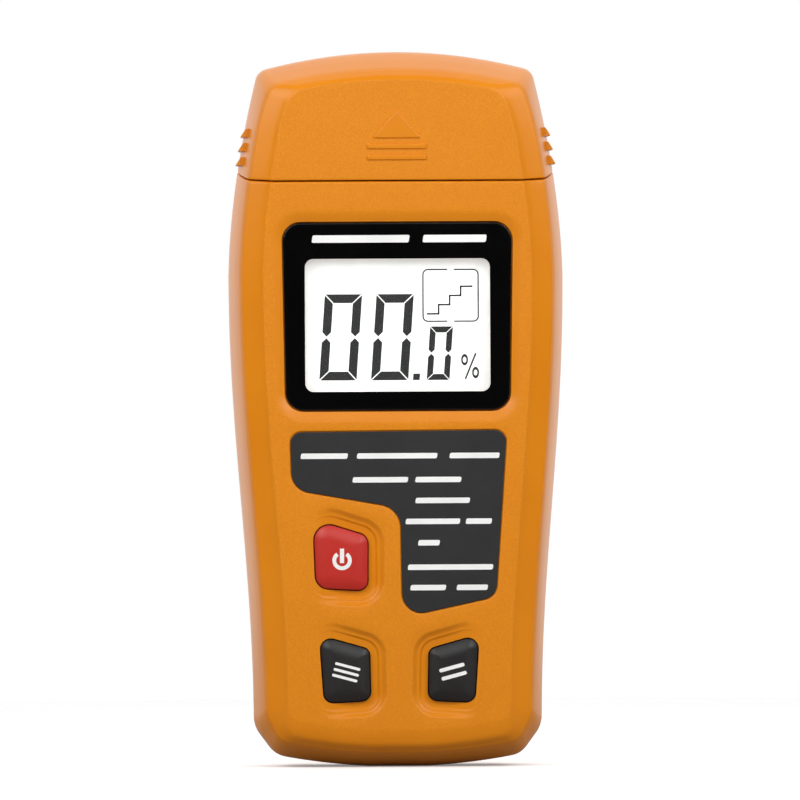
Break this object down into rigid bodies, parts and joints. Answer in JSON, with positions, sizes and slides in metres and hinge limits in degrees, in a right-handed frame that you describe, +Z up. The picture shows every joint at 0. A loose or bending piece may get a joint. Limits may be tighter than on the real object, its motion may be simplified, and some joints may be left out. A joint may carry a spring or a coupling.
{
  "type": "moisture meter",
  "caption": "Handheld wood moisture meter with a display window, press keys, a pull-off cap over its needle pins and a hinged battery door at the back.",
  "frame": {"origin": "middle of the flat on the lower end, where the meter stands", "axes": "+Z up the meter towards the pins, -Y out of the display face, +X to the right of the display"},
  "size_m": [0.0676, 0.03, 0.144],
  "materials": {
    "housing_plastic": "orange moulding, fine grain on the flat faces and smooth satin on the edges",
    "window_plastic": "gloss, black printed border round a clear middle",
    "label_sheet": "satin dark grey",
    "lcd_glass": "white reflective display",
    "white_plastic": "satin",
    "contact_rubber": "matte",
    "board_laminate": "green solder resist",
    "black_plastic": "satin",
    "red_key": "satin red",
    "dark_key": "satin dark grey",
    "battery_can": "printed sleeve",
    "red_lead": "satin insulation",
    "black_lead": "satin insulation",
    "brass": "turned",
    "steel": "bright"
  },
  "bodies": {
    "housing": {"front_shell": "housing_plastic", "rear_shell": "housing_plastic", "display_window": "window_plastic", "label_plate": "label_sheet", "lcd_panel": "lcd_glass", "lcd_frame": "white_plastic", "zebra_strip": "contact_rubber", "main_board": "board_laminate", "buzzer": "black_plastic", "controller_chip": "black_plastic", "amplifier_chip": "black_plastic", "power_switch_body": "steel", "mode_switch_body": "steel", "hold_switch_body": "steel", "battery": "battery_can", "battery_snap": "black_plastic", "battery_lead_red": "red_lead", "battery_lead_black": "black_lead", "pin_block": "black_plastic", "pin_socket_left": "brass", "pin_socket_right": "brass", "electrode_pin_left": "steel", "electrode_pin_right": "steel", "pin_lead_left": "red_lead", "pin_lead_right": "red_lead", "board_screw_left": "steel", "board_screw_right": "steel", "case_screw_1": "steel", "case_screw_2": "steel", "case_screw_3": "steel", "case_screw_4": "steel"},
    "cap": {"pin_cap": "housing_plastic"},
    "door": {"battery_door": "housing_plastic"},
    "power_key": {"power_button": "red_key"},
    "mode_key": {"mode_button": "dark_key"},
    "hold_key": {"hold_button": "dark_key"},
    "power_plunger": {"power_switch_plunger": "black_plastic"},
    "mode_plunger": {"mode_switch_plunger": "black_plastic"},
    "hold_plunger": {"hold_switch_plunger": "black_plastic"}
  },
  "joints": [
    {"name": "cap_pull", "type": "slide", "parent": "housing", "child": "cap", "axis": [0, 0, 1], "range_m": [0, 0.045]},
    {"name": "door_hinge", "type": "hinge", "parent": "housing", "child": "door", "pos_m": [0, 0.015, 0.008], "axis": [-1, 0, 0], "range_deg": [0, 75]},
    {"name": "power_press", "type": "slide", "parent": "housing", "child": "power_key", "axis": [0, 1, 0], "range_m": [0, 0.0005], "stiffness_N_per_m": 3000, "springref_m": -0.0002},
    {"name": "mode_press", "type": "slide", "parent": "housing", "child": "mode_key", "axis": [0, 1, 0], "range_m": [0, 0.0005], "stiffness_N_per_m": 3000, "springref_m": -0.0002},
    {"name": "hold_press", "type": "slide", "parent": "housing", "child": "hold_key", "axis": [0, 1, 0], "range_m": [0, 0.0005], "stiffness_N_per_m": 3000, "springref_m": -0.0002},
    {"name": "power_plunger_slide", "type": "slide", "parent": "housing", "child": "power_plunger", "axis": [0, 1, 0], "range_m": [0, 0.0005]},
    {"name": "mode_plunger_slide", "type": "slide", "parent": "housing", "child": "mode_plunger", "axis": [0, 1, 0], "range_m": [0, 0.0005]},
    {"name": "hold_plunger_slide", "type": "slide", "parent": "housing", "child": "hold_plunger", "axis": [0, 1, 0], "range_m": [0, 0.0005]}
  ],
  "couplings": [
    {"joint": "power_plunger_slide", "follows": "power_press", "ratio": 1},
    {"joint": "mode_plunger_slide", "follows": "mode_press", "ratio": 1},
    {"joint": "hold_plunger_slide", "follows": "hold_press", "ratio": 1}
  ]
}
